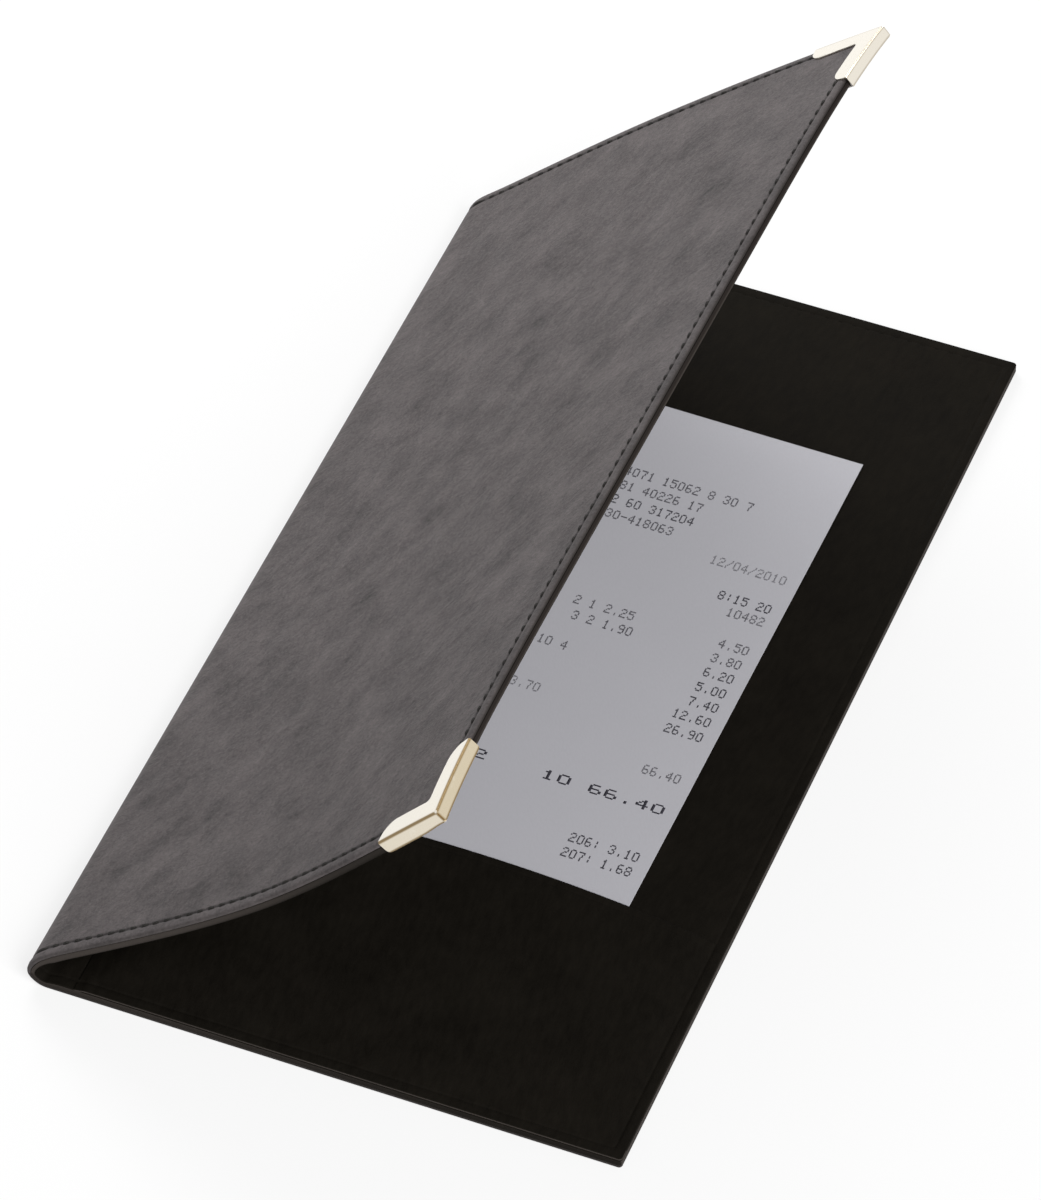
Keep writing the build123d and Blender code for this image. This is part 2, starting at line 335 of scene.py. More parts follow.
def edge_tone_and_shade(panel, lining, run, ring, drop, on_free_side):
    """Share of the edge's tone at each point: it grows with the drop down the wall. On the skins this
    tone is painted shade; on a lining it is the lighter edge tone on the two ends and painted shade
    on the free side. On the two ends it is weaker the further they are from the fold, and the
    cover's skin also gets painted shade on the face along its free edge."""
    from_fold = smooth_step(np.abs(run), 10, 105)
    if lining:
        on_ends = SIDE_WALL * (1 - 0.6 * from_fold)
        tone = smooth_step(drop, 0.12, 0.42) * np.where(on_free_side, 1, on_ends)
        return tone * (1 - 0.5 * smooth_step(drop, 0.35, 0.8)) if panel == "back" else tone
    if panel == "cover":
        # Painted shade on the cover's skin: on the free side over the face's outer band and down the wall, on
        # the ends down the wall.
        rubbed = 0.5 * (1 - smooth_step(ring, -0.3, 2)) + 0.5 * smooth_step(drop, 0.3, 0.7)
        on_ends = SIDE_WALL * (1 - 0.45 * from_fold) * smooth_step(drop, 0.02, 0.3)
        return np.where(on_free_side, rubbed, on_ends)
    # Painted shade down the back skin's walls.
    return smooth_step(drop, 0.1, 0.4)


def panel_sheet(name, panel, edge, material, curl, lining=False):
    """One sheet of a panel with its half of the fold: rings in from the free edge by rings in from
    the side edges, closer over the fold. A lining lies on the inside, and drops outwards at its
    edges; an outer sheet drops inwards."""
    reach, sign = (COVER_REACH, 1) if panel == "cover" else (BACK_REACH, -1)
    length = reach - sign * FOLD_MIDDLE
    free = panel_rings(edge)
    close = np.arange(length - FOLD_BAND + FOLD_STEP, length - 0.1, FOLD_STEP)
    free = np.concatenate([free[free < length - FOLD_BAND], close, [length]])
    side, turned = side_rings(edge)
    side, turned = side[:, None], turned[:, None]
    free_inset, side_inset, ring, drop = ring_plan(free, side, edge)
    run, y = sign * (reach - free_inset), turned * (HALF_LENGTH - side_inset)
    if lining:
        inner, valley = inner_depth(run), seam_valley(ring, LINING_VALLEY)
        depth = inner - drop * (inner - INNER_FACE + edge.height) / edge.height - valley
    else:
        valley = seam_valley(ring, SKIN_VALLEY)
        depth = drop + (np.maximum(valley, 0) if panel == "back" else valley)
    # The wall value carries the edge's tone and its painted shade.
    values = {"wall": edge_tone_and_shade(panel, lining, run, ring, drop, free < side)}
    if not lining:
        values["ring"] = ring * MM
    faces = grid_faces(*ring.shape)
    if (panel == "cover") == lining:
        faces = faces[:, ::-1]
    flat = together(sign * (reach - free), turned * (HALF_LENGTH - side))
    piece = make_piece(name, place(run, y, depth, curl), faces, material, flat, **values)
    return thicken(piece, LINING_SHEET if lining else SKIN_SHEET)


def stiffener(name, material, curl):
    """The cover's board: an even grid with square corners that follows the curl, given its thickness."""
    half = HALF_LENGTH - BOARD_INSET
    run, y = np.linspace(BOARD_START, COVER_REACH - BOARD_INSET, 41), np.linspace(-half, half, 31)[:, None]
    faces = grid_faces(y.size, run.size)[:, ::-1]
    piece = make_piece(name, place(run, y, BOARD_FACE, curl), faces, material, together(run, y))
    return thicken(piece, BOARD_SHEET, 0.1)


# --- corner guards --------------------------------------------------------------
GUARD_REACH = 121.6         # hinge axis to the free edge inside the guards
GUARD_SHEET, GUARD_ROW = 0.35, 0.4   # the metal's thickness, and what a row counts in the marks on it
GUARD_LEG, GUARD_FLANGE = 18.1, 4.15   # length of a leg and width of a flange
GUARD_TAPER, GUARD_TIP = 3.7, 0.35   # stretch over which a flange narrows, and its width at the end
GUARD_CROOK, GUARD_POINT = 1.0, 0.25   # radius of the flange's inner corner and of the guard's point
GUARD_BEND, GUARD_CREASE = 0.3, 0.13   # radius of the bends, and how far the crease in one sinks
GUARD_STAND = 0.4           # the metal stands this far off the panel on every side
GUARD_NOSE = (1.3, 0.5)     # radius of the wall's end at its inner edge, on the side and the free leg
RIDGE_WIDTH = 0.32          # the painted shade along the ridge fades from this distance to twice that
SLIT = 0.17                 # half the slit between the two walls at the corner
# Places along a leg: close at the corner, then even ones to its end.
GUARD_PLACES = np.concatenate([
    (SLIT, 0.35, 0.6, 0.9, 1.2, 1.6, 2, 3, 4.5, 6.5, 9, 11), np.linspace(12.6, GUARD_LEG, 14)])
SIDE_REFLECTION = 0.55            # share of the painted darker reflection on the side leg's wall
BARE_CREASE_SHADE = 0.4              # share of the painted crease shade on a guard without painted reflection


def guard_section():
    """Rows across a guard, from one flange's edge round the wall to the other's: the share of the
    flange's width that is left, the inset, the depth, and whether the row is on the wall or on the
    last part of a bend."""
    flange = np.append(np.linspace(1, 0.12, 7), 0.04)
    low, high = -GUARD_STAND, INNER_FACE + GUARD_STAND
    bend = np.linspace(0, math.pi / 2, 6)
    radius = GUARD_BEND - GUARD_CREASE * bell(bend, math.pi / 4, 0.35)
    inset = GUARD_BEND - GUARD_STAND - radius * np.sin(bend)
    depth = low + GUARD_BEND - radius * np.cos(bend)
    wall = np.linspace(low + GUARD_BEND, high - GUARD_BEND, 9)[1:-1]
    stretches = (
        (flange, 0, low), (0, inset, depth), (0, -GUARD_STAND, wall),
        (0, inset[::-1], INNER_FACE - depth[::-1]), (flange[::-1], 0, high))
    share, plan, level = np.concatenate([together(*stretch) for stretch in stretches]).T[..., None]
    row = np.arange(len(share))[:, None]
    return share, plan, level, np.abs(row - row.mean()) < len(wall) / 2 + 2


def guard(name, side, plating_and_reflection, material, curl):
    """Metal corner: the section carried along both legs of the panel's corner. A flange narrows on
    a quarter ellipse over its last stretch, the walls end in a round nose and stop short of each
    other at the corner. The walls get a painted darker reflection, deeper on the free side's wall."""
    share, plan, level, on_wall = guard_section()
    extra = np.concatenate([-GUARD_PLACES[::-1], [0], GUARD_PLACES])
    on_free_leg, far = extra > 0, np.abs(extra)
    taper = np.clip((far - GUARD_LEG + GUARD_TAPER) / GUARD_TAPER, 0, 1)
    width = GUARD_TIP + (GUARD_FLANGE - GUARD_TIP) * np.sqrt(np.maximum(1 - taper**2, 0))
    mitre = plan + share * GUARD_FLANGE
    across, along = corner_round(far, GUARD_POINT + (GUARD_CROOK - GUARD_POINT) * share)
    further = mitre + along
    further = further + (far - further) * smooth_step(far, 6, 12)
    nose = np.where(on_free_leg, GUARD_NOSE[1], GUARD_NOSE[0])
    cut = np.clip(nose - (level.max() - level), 0, nose)
    further = further - (nose - np.sqrt(nose**2 - cut**2)) * smooth_step(far, GUARD_LEG - 3, GUARD_LEG)
    nearer = plan + share * width + across
    free_inset = np.where(on_free_leg, nearer, further)
    side_inset = np.where(on_free_leg, further, nearer)
    run, y = GUARD_REACH - free_inset, side * (HALF_LENGTH - side_inset)
    points = place(run, y, level - pressed(run) * np.clip(level / INNER_FACE, 0, 1), curl)
    faces = grid_faces(*run.shape)
    if side > 0:
        faces = faces[:, ::-1]
    rows, columns = np.divmod(faces, len(extra))
    slit = on_wall[rows, 0].all(1) & (columns == len(GUARD_PLACES)).any(1)
    to_side = np.minimum(level + GUARD_STAND, INNER_FACE + GUARD_STAND - level)
    off_ridge = np.hypot(mitre + GUARD_STAND, to_side)
    # Painted shade: a dark line along the ridge and in the slit between the walls, stronger on the guard with
    # more painted reflection.
    ridge = 1 - smooth_step(off_ridge, RIDGE_WIDTH, 2 * RIDGE_WIDTH)
    crease = np.maximum(ridge, (1 - smooth_step(far, SLIT, 0.6)) * on_wall)
    crease = crease * smooth_step(np.hypot(far, off_ridge), 0.2, 0.6) * (BARE_CREASE_SHADE + (1 - BARE_CREASE_SHADE) * plating_and_reflection)
    # Painted darker reflection on the walls, full on the free leg and less on the side leg.
    wall = on_wall * np.where(on_free_leg, 1, SIDE_REFLECTION) * plating_and_reflection
    flat = together(extra, np.arange(len(share))[:, None] * GUARD_ROW)
    piece = make_piece(name, points, faces[~slit], material, flat, crease=crease, wall=wall)
    return thicken(piece, GUARD_SHEET, 0.05)


# --- pocket ---------------------------------------------------------------------
POCKET_SIDE = 8.6           # hinge axis to the pocket's edge along the spine
POCKET_DEPTH, POCKET_BOW = 57.0, 4.3   # near edge to the lip's ends, and the lip's bow past them
POCKET_RAISE, POCKET_SLOPE, POCKET_SEAM = 0.42, 4.5, 2.6   # its rise, over what width, from what inset
POCKET_FACE, POCKET_SHEET = INNER_FACE + 0.5, 0.4
POCKET_GAPE = 0.2           # how much more the lip's middle rises
POCKET_ROLL, POCKET_GROOVE = 0.5, 0.04   # drop along the spine, and depth of the sewn groove there
# Rows of the lip's hem: the distance from the lip, and how far the sheet drops there.
POCKET_HEM = np.array((
    (-4, 0), (-2.6, 0), (-2.1, 0.03), (-1.9, 0.12), (-1.7, 0.03), (-1.5, 0), (-1, 0), (-0.45, 0),
    (-0.2, 0.06), (-0.06, 0.2), (0, 0.42)))


def pocket(name, material, curl):
    """Pocket sheet over the near end of the back: rings in from the free and the near edge, and a
    bowed lip with its hem. It rises from the seams over a smooth slope, gapes a little in the lip's
    middle and rolls down along the spine."""
    width = BACK_REACH - POCKET_SIDE
    free = panel_rings(POCKET_EDGE)
    free = np.concatenate([free[free < width - 5.5], np.linspace(width - 5, width, 14)])
    near = panel_rings(POCKET_EDGE, 2.5)
    near = near[near < POCKET_DEPTH - 4][:, None]
    plan = ring_plan(free, near, POCKET_EDGE)
    free_inset, side_inset, ring, drop = (
        np.concatenate([rows, rows[-1:].repeat(len(POCKET_HEM), 0)]) for rows in plan)
    hem = POCKET_HEM[:, :, None]
    middle = 1 - (2 * free / width - 1) ** 2
    lip = POCKET_DEPTH + POCKET_BOW * middle
    sewn, loose = side_inset[:near.size], slice(near.size, None)
    sewn += (sewn / near[-1]) ** 2 * smooth_step(near, 3, 20) * (lip - 6 - near[-1])
    side_inset[loose] = lip + hem[:, 0]
    drop[loose] += hem[:, 1]
    spine_side = width - free_inset
    seam = np.minimum(np.minimum(free_inset, spine_side), side_inset)
    rise = smooth_step(seam, POCKET_SEAM, POCKET_SEAM + POCKET_SLOPE)
    gape = POCKET_GAPE * smooth_step(side_inset, 30, 62) * middle
    roll = POCKET_ROLL * smooth_step(-spine_side, -2.5, 0)
    depth = POCKET_FACE + rise * (POCKET_RAISE + gape) - drop - roll - seam_valley(ring, POCKET_VALLEY)
    depth = depth - POCKET_GROOVE * bell(spine_side, 1.6, 0.32)
    points = place(free_inset - BACK_REACH, side_inset - HALF_LENGTH, depth, curl)
    wall = SIDE_WALL * smooth_step(drop, 0.03, 0.2) * (side_inset < POCKET_SEAM)
    flat = together(-free_inset, side_inset)
    piece = make_piece(name, points, grid_faces(*ring.shape), material, flat, wall=wall)
    return thicken(piece, POCKET_SHEET)


# --- check ----------------------------------------------------------------------
CHECK_FACE = 2.9            # top of the slip above the table
CHECK_SHEET = 0.12


def slip_point(across, along, lift=0.0):
    """Point of the check at two distances from its middle: turned a little on the panel, with a
    slow wave across it and its far corners lifting, as paper from a roll does."""
    size, middle, turn = slip_facts()
    cos, sin = math.cos(turn), math.sin(turn)
    x = middle[0] + across * cos + along * sin
    y = middle[1] + along * cos - across * sin
    far = smooth_step(along, 0.1 * size[1], 0.5 * size[1])
    wave = 0.12 * np.sin(along / 17 + across / 60) * smooth_step(along, -0.2 * size[1], 0)
    lip = 0.1 * far * (2 * across / size[0]) ** 2
    return together(x, y, CHECK_FACE + wave + lip + lift)


def slip_facts():
    """Width and length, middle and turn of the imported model's check, which slides along its length."""
    low, high = (np.array(corner)[:2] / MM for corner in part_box("guest_check"))
    slide = next(joint["axis"] for joint in frame["joints"] if joint["name"] == "check_slide")
    turn = math.atan2(slide[0], slide[1])
    cos, sin = math.cos(turn), math.sin(turn)
    return np.linalg.solve([[cos, sin], [sin, cos]], high - low), (high + low) / 2, turn


def check_slip(name, material):
    """The paper: an even grid over the slip, with a narrow margin that keeps the shading of its
    thin wall off the face."""
    rows, columns = 91, 41
    across, along = (
        np.concatenate([[-half], np.linspace(0.1 - half, half - 0.1, count - 2), [half]])
        for half, count in zip(slip_facts()[0] / 2, (columns, rows)))
    along = along[:, None]
    faces = grid_faces(rows, columns)[:, ::-1]
    piece = make_piece(name, slip_point(across, along), faces, material, together(across, along))
    return thicken(piece, CHECK_SHEET)


# Dot rows of a till printer's digits, from the top, five bits each.
DOTS = {
    "0": (14, 17, 17, 17, 17, 17, 14), "1": (4, 12, 4, 4, 4, 4, 14), "2": (14, 17, 1, 6, 8, 16, 31),
    "3": (14, 17, 1, 6, 1, 17, 14), "4": (2, 6, 10, 18, 31, 2, 2), "5": (31, 16, 30, 1, 1, 17, 14),
    "6": (14, 16, 16, 30, 17, 17, 14), "7": (31, 1, 2, 2, 4, 4, 4), "8": (14, 17, 17, 14, 17, 17, 14),
    "9": (14, 17, 17, 15, 1, 1, 14), ".": (0, 0, 0, 0, 0, 4, 4), ":": (0, 4, 4, 0, 4, 4, 0),
    "/": (1, 1, 2, 4, 8, 16, 16), "-": (0, 0, 0, 31, 0, 0, 0), " ": (0,) * 7,
}
CHARACTER_PITCH, CHARACTER_WIDTH, CHARACTER_HEIGHT = 1.69, 1.3, 2.5
# Lines of plain numbers: distance along the slip from its middle, right end, text, widening, ink.
LINES = (
    (70.8, 23.2, "20 4071 15062 8 30 7", 1, 0.62), (66.6, 13.6, "3081 40226 17", 1, 0.62),
    (62.3, 13.4, "1042 60 317204", 1, 0.68), (58.1, 10.4, "0530-418063", 1, 0.62),
    (54.1, 37.1, "12/04/2010", 1, 0.45), (45.5, 37.1, "8:15 20", 1, 0.75), (41.7, 37.1, "10482", 1, 0.55),
    (33.0, 12.0, "2 1 2.25", 1, 0.58), (28.8, 13.2, "3 2 1.90", 1, 0.62), (20.3, 2.4, "10 4", 1, 0.55),
    (7.6, 1.6, "3.70", 1, 0.45),
    (33.0, 37.1, "4.50", 1, 0.6), (28.8, 37.1, "3.80", 1, 0.62), (24.6, 37.1, "6.20", 1, 0.7),
    (20.3, 37.1, "5.00", 1, 0.75), (16.1, 37.1, "7.40", 1, 0.75), (11.9, 37.1, "12.60", 1, 0.75),
    (7.6, 37.1, "26.90", 1, 0.72), (-4.4, 37.1, "66.40", 1, 0.55),
    (-13.2, 37.1, "10 66.40", 2, 0.95), (-13.2, -1.5, "12", 2, 0.95),
    (-26.6, 37.1, "206: 3.10", 1, 0.75), (-30.7, 37.1, "207: 1.68", 1, 0.75),
)
INK_SHEET, INK_LIFT = 0.012, 0.004
DOT_SPREAD = (1.12, 1.04)   # the dots' width and height, as shares of their pitch


def dot_places():
    """Places of all the printed dots, with the widening and the ink of each one's line: every
    character's dots, laid out to the left of its line's right end."""
    found = []
    for along, right, text, wide, ink in LINES:
        left = right - ((len(text) - 1) * CHARACTER_PITCH + CHARACTER_WIDTH) * wide
        for column, character in enumerate(text):
            row, dot = np.nonzero(np.array(DOTS[character])[:, None] >> np.arange(4, -1, -1) & 1)
            across = left + (column * CHARACTER_PITCH + (dot + 0.5) * CHARACTER_WIDTH / 5) * wide
            found.append(together(across, along + (3 - row) * CHARACTER_HEIGHT / 7, wide, ink))
    return np.concatenate(found)


def check_print(name, material):
    """The print: each dot is a thin box that lies on the paper and touches its neighbours."""
    across, along, wide, ink = dot_places().T[..., None]
    x, y, z = np.array([(x, y, z) for z in (0, 1) for y in (-0.5, 0.5) for x in (-0.5, 0.5)]).T
    across = across + x * wide * CHARACTER_WIDTH / 5 * DOT_SPREAD[0]
    along = along + y * CHARACTER_HEIGHT / 7 * DOT_SPREAD[1]
    points = slip_point(across, along, z * INK_SHEET + INK_LIFT)
    box = np.array([(0, 2, 3, 1), (4, 5, 7, 6), (0, 1, 5, 4), (1, 3, 7, 5), (3, 2, 6, 7), (2, 0, 4, 6)])
    faces = repeated(box, len(x), len(ink))
    return make_piece(name, points, faces, material, together(across, along), ink=ink.repeat(len(x), 1))


# --- stitching ------------------------------------------------------------------
SEAM_START = 9.0            # the seams show on the inside from here, past the soft fold
SEAM_PAST_FOLD = 1.2        # and on the outside from here, past the middle of the fold
# The seams, and how far the threads stand off the face that they are sewn into.
SEAMS = (
    ("back", "outside", -0.47), ("back", "inside", -0.43),
    ("cover", "outside", -0.12), ("cover", "inside", -0.43),
)
THREAD_ROWS, THREAD_SIDES = 8, 6
THREAD_DIVE = 1.6           # how many of its radii a thread dives at its ends


def seam_line(reach, start):
    """Line of a seam round a panel's three sides, as run and y, and the length along it: straight
    down the near side, round the free corners on small arcs and back along the far side."""
    half, end = HALF_LENGTH - STITCH_INSET, reach - STITCH_INSET
    bend = np.linspace(0, math.pi / 2, 9)
    arc = together(end - CORNER_RADIUS * (1 - np.sin(bend)), CORNER_RADIUS * (1 - np.cos(bend)) - half)
    line = np.concatenate([[(start, -half)], arc, (arc * (1, -1))[::-1], [(start, half)]])
    return line, np.concatenate([[0], np.cumsum(np.linalg.norm(np.diff(line, axis=0), axis=1))])


def stitches(name, panel, level, lift, material, sizes, keep_clear):
    """Stitches at an even pitch along a panel's seam, apart from those that the corner guards hide.
    Each one is a short thread, round in section, that rises out of the sheet and dives back into it
    at both ends, with the fourth power of the distance from its middle."""
    sign, reach = (1, COVER_REACH) if panel == "cover" else (-1, BACK_REACH)
    start = SEAM_START if level == "inside" else sign * FOLD_MIDDLE + SEAM_PAST_FOLD
    line, length = seam_line(reach, start)

    def on_line(place):
        return together(*(np.interp(place, length, column) for column in line.T))

    radius = sizes.thread_radius / MM
    count = int(length[-1] // (sizes.stitch_pitch / MM))
    middle = (np.arange(count) + 0.5) * length[-1] / count
    corners = np.array([[reach, -HALF_LENGTH], [reach, HALF_LENGTH]])
    away = np.linalg.norm(on_line(middle)[:, None] - corners, axis=-1).min(1)
    middle = middle[away > keep_clear][:, None, None]
    along = np.linspace(-0.5, 0.5, THREAD_ROWS)[:, None]
    around = np.arange(THREAD_SIDES) * math.tau / THREAD_SIDES
    place_on_line = middle + along * sizes.stitch_length / MM
    thick = radius * np.sqrt(np.maximum(1 - (2 * along) ** 6, 0.02))
    outward = thick * np.cos(around) - THREAD_DIVE * radius * np.abs(2 * along) ** 4
    spot = on_line(place_on_line)
    heading = on_line(place_on_line + 0.05) - spot
    heading = heading / np.maximum(np.linalg.norm(heading, axis=-1, keepdims=True), 1e-9)
    run = spot[..., 0] - thick * np.sin(around) * heading[..., 1]
    y = spot[..., 1] + thick * np.sin(around) * heading[..., 0]
    depth = inner_depth(run) + outward + lift if level == "inside" else -outward - lift
    points = place(sign * run, y, depth, sizes.cover_curl)
    order = np.arange(around.size * along.size).reshape(along.size, around.size).T.ravel()
    first_end = np.array([[0, 1, 2, 3], [0, 3, 4, 5]])
    last_end = first_end[:, ::-1] + order.size - around.size
    thread = np.concatenate([order[grid_faces(around.size, along.size, wrap=True)], first_end, last_end])
    faces = repeated(thread, order.size, len(middle))
    if (level == "inside") != (panel == "cover"):
        faces = faces[:, ::-1]
    return make_piece(name, points, faces, material, together(place_on_line, around * radius))


# --- materials ------------------------------------------------------------------
class Wire:
    """A socket's value. Arithmetic on it adds Math nodes."""

    def __init__(self, nodes, socket):
        self.nodes, self.socket = nodes, socket

    def _math(self, operation, *values):
        return self.nodes.node("Math", {"operation": operation}, dict(enumerate(values)))

    def __add__(self, other):
        return self._math("ADD", self, other)

    def __sub__(self, other):
        return self._math("SUBTRACT", self, other)

    def __rsub__(self, other):
        return self._math("SUBTRACT", other, self)

    def __mul__(self, other):
        return self._math("MULTIPLY", self, other)

    def __abs__(self):
        return self._math("ABSOLUTE", self)

    __radd__, __rmul__ = __add__, __mul__

    def between(self, low, high):
        """0 at low and 1 at high, held in that range, with soft ends."""
        settings = {"interpolation_type": "SMOOTHSTEP"}
        return self.nodes.node("MapRange", settings, {"Value": self, "From Min": low, "From Max": high})

    def band(self, middle, width):
        """1 at middle, falling to 0 at width on both sides of it."""
        return 1 - abs(self - middle).between(0, width)


class Nodes:
    """A node tree, and the one place where nodes are added to it."""

    def __init__(self, tree):
        self.tree = tree

    def node(self, kind, settings=None, inputs=None, output=0):
        """Adds one node: its settings first, then the values or links of its sockets."""
        made = self.tree.nodes.new("ShaderNode" + kind)
        for key, value in (settings or {}).items():
            setattr(made, key, value)
        for key, value in (inputs or {}).items():
            self.feed(made.inputs[key], value)
        return Wire(self, made.outputs[output])

    def feed(self, socket, value):
        """Links a wire to a socket, or sets the socket's own value."""
        if isinstance(value, Wire):
            self.tree.links.new(value.socket, socket)
        else:
            socket.default_value = value

    def seen_plainly(self):
        """1 for rays from the camera, from a mirror or through glass, which see the background white."""
        kinds = ("Is Camera Ray", "Is Glossy Ray", "Is Transmission Ray")
        return sum(self.node("LightPath", output=kind) for kind in kinds)


class Paint(Nodes):
    """Nodes of one material round its Principled shader."""

    def __init__(self, name):
        self.material = bpy.data.materials.new("presenter_" + name)
        self.material.use_nodes = True
        super().__init__(self.material.node_tree)
        self.shader = self.tree.nodes["Principled BSDF"]

    def mix(self, first, second, share):
        """A colour between two colours."""
        return self.node("Mix", {"data_type": "RGBA"}, {6: first, 7: second, 0: share}, output=2)

    def combined(self, operation, vector, other):
        """Vector Math on two vectors or colours."""
        return self.node("VectorMath", {"operation": operation}, {0: vector, 1: other})

    def scaled(self, vector, factor):
        """A vector or a colour times a value."""
        return self.node("VectorMath", {"operation": "SCALE"}, {0: vector, "Scale": factor})

    def unrolled(self):
        """The piece's unrolled surface in metres."""
        return self.node("UVMap", {"uv_map": "unrolled"})

    def turned(self, vector, stretch, degrees=0.0):
        """A vector turned about Z and stretched."""
        inputs = {"Vector": vector, "Rotation": (0, 0, math.radians(degrees)), "Scale": stretch}
        return self.node("Mapping", {"vector_type": "TEXTURE"}, inputs)

    def swirl(self, vector, scale, reach):
        """A slow random shift of up to about half of reach metres."""
        cloud = self.node("TexNoise", None, {"Vector": vector, "Scale": scale, "Detail": 2.0}, output=1)
        return self.scaled(self.combined("SUBTRACT", cloud, (0.5, 0.5, 0.5)), reach)

    def noise(self, vector, scale, detail=3.0, roughness=0.5):
        """Fractal noise from 0 to 1, with so many features to a metre."""
        inputs = {"Vector": vector, "Scale": scale, "Detail": detail, "Roughness": roughness}
        return self.node("TexNoise", None, inputs)

    def drift(self, vector, scale, detail=3.0, roughness=0.6):
        """The same noise about 0."""
        return self.noise(vector, scale, detail, roughness) - 0.5

    def line(self, vector, scale, sharp):
        """Thin winding lines, where a noise crosses its middle."""
        return (1 - abs(self.drift(vector, scale, 3, 0.55)) * sharp).between(0.1, 1)

    def attribute(self, name):
        """A value that the mesh holds for each point."""
        return self.node("Attribute", {"attribute_name": name}, output=2)

    def bump(self, height, depth):
        """Feeds the shader's normal with a height map that is depth metres deep."""
        bumps = self.node("Bump", None, {"Distance": depth, "Height": height})
        self.feed(self.shader.inputs["Normal"], bumps)

    def finish(self, **values):
        """Feeds the Principled shader's sockets, named with underscores for their spaces."""
        for key, value in values.items():
            self.feed(self.shader.inputs[key.replace("_", " ")], value)
        return self.material


def rgba(colour):
    """A colour property as a node's colour."""
    return (*colour[:3], 1.0)


def grain(paint, fine):
    """Height of an embossed leather grain: small rounded cells with finer noise on them."""
    surface = paint.unrolled()
    cells = paint.node("TexVoronoi", {"feature": "F1"}, {"Vector": surface, "Scale": fine, "Randomness": 0.9})
    return cells * 0.6 + paint.noise(surface, fine * 1.6, 2) * 0.6


def paint_leatherette(colours):
    """Matt grey leatherette: cloudy mottling, soft slanting folds with thin dark creases in them,
    fine grain, painted shade in the seam valley, and painted shade in a brown tone on the walls and
    along the cover's free edge."""
    paint = Paint("leatherette")
    surface = paint.unrolled()
    warped = paint.combined("ADD", surface, paint.swirl(surface, 42, 0.007))
    slanted = paint.turned(warped, (1.6, 1, 1), 58)
    streaked = paint.turned(warped, (2.3, 1, 1), 33)
    shade = paint.drift(surface, 28, 2, 0.5)
    cloud = paint.drift(warped, 90, 4, 0.62)
    fold = paint.drift(slanted, 230, 1.6, 0.5)
    mottle = paint.drift(surface, 820, 3, 0.62)
    speck = paint.drift(surface, 2100, 2)
    crease = paint.line(streaked, 85, 12) * paint.noise(surface, 60, 2).between(0.4, 0.6)
    hair = paint.line(slanted, 170, 17) * paint.noise(surface, 100, 2).between(0.46, 0.64)
    # Painted shade in the seam valley: a band round the stitch line takes half off the light factor.
    seam = paint.attribute("ring").band(STITCH_INSET * MM, 0.0008)
    light = 1 + shade * 0.2 + cloud + fold * 0.7 + mottle + speck * 1.1
    light = light - crease * 0.17 - hair * 0.07 - seam * 0.5
    colour = paint.mix(rgba(colours.leatherette), rgba(colours.leatherette_warm), cloud + fold + 0.5)
    # Painted shade: the wall value mixes in the turned edge's shaded tone on the walls and along the cover's
    # free edge.
    colour = paint.mix(paint.scaled(colour, light), rgba(colours.turned_edge_shade), paint.attribute("wall"))
    rough = 0.7 + fold * 0.2 - cloud * 0.15
    paint.bump(grain(paint, 1700) + fold * 1.1 + mottle * 1.5 - crease * 0.4 - hair * 0.2, 0.00008)
    return paint.finish(Base_Color=colour, Roughness=rough, Specular_IOR_Level=0.22)


def paint_lining(colours):
    """Near-black lining, brownish where it catches light, with a faint nap and a lighter turned
    edge, which is darker with painted shade along the free side."""
    paint = Paint("lining")
    surface = paint.unrolled()
    cloud = paint.drift(surface, 60, 5)
    nap = paint.drift(paint.turned(surface, (1, 3, 1), 8), 700)
    wall = paint.attribute("wall")
    colour = paint.mix(rgba(colours.lining), rgba(colours.lining_rubbed), 0.45 + cloud * 1.2 + nap)
    colour = paint.mix(colour, rgba(colours.lining_edge), wall.between(0.0, SIDE_WALL))
    # Painted shade: towards 1 the free side's edge goes over to the turned edge's shaded tone.
    colour = paint.mix(colour, rgba(colours.turned_edge_shade), wall.between(SIDE_WALL, 1.0))
    paint.bump(grain(paint, 1500) + nap, 0.00005)
    return paint.finish(Base_Color=colour, Roughness=0.7 + cloud * 0.25 + nap * 0.12, Specular_IOR_Level=0.03)


def paint_thread(name, ground, lit, gloss):
    """Dark twisted thread, seen as slanting ribs along each stitch, with a painted highlight on the ribs."""
    paint = Paint(name)
    inputs = {"Vector": paint.unrolled(), "Scale": 420.0}
    ribs = paint.node("TexWave", {"bands_direction": "DIAGONAL"}, inputs)
    paint.bump(ribs, 0.00006)
    # Painted highlight: the ribs go half way to the lit colour.
    colour = paint.mix(rgba(ground), rgba(lit), ribs * 0.5)
    return paint.finish(Base_Color=colour, Roughness=0.6 + ribs * 0.15, Specular_IOR_Level=gloss)


def paint_board(colours):
    """Grey fibreboard, which shows only where the sewn layers part."""
    paint = Paint("greyboard")
    fibre = paint.noise(paint.node("TexCoord", output="Object"), 900, 4, 0.65)
    paint.bump(fibre, 0.00005)
    colour = paint.mix(rgba(colours.board), rgba(colours.board_fibre), fibre)
    return paint.finish(Base_Color=colour, Roughness=0.85 + fibre * 0.1)


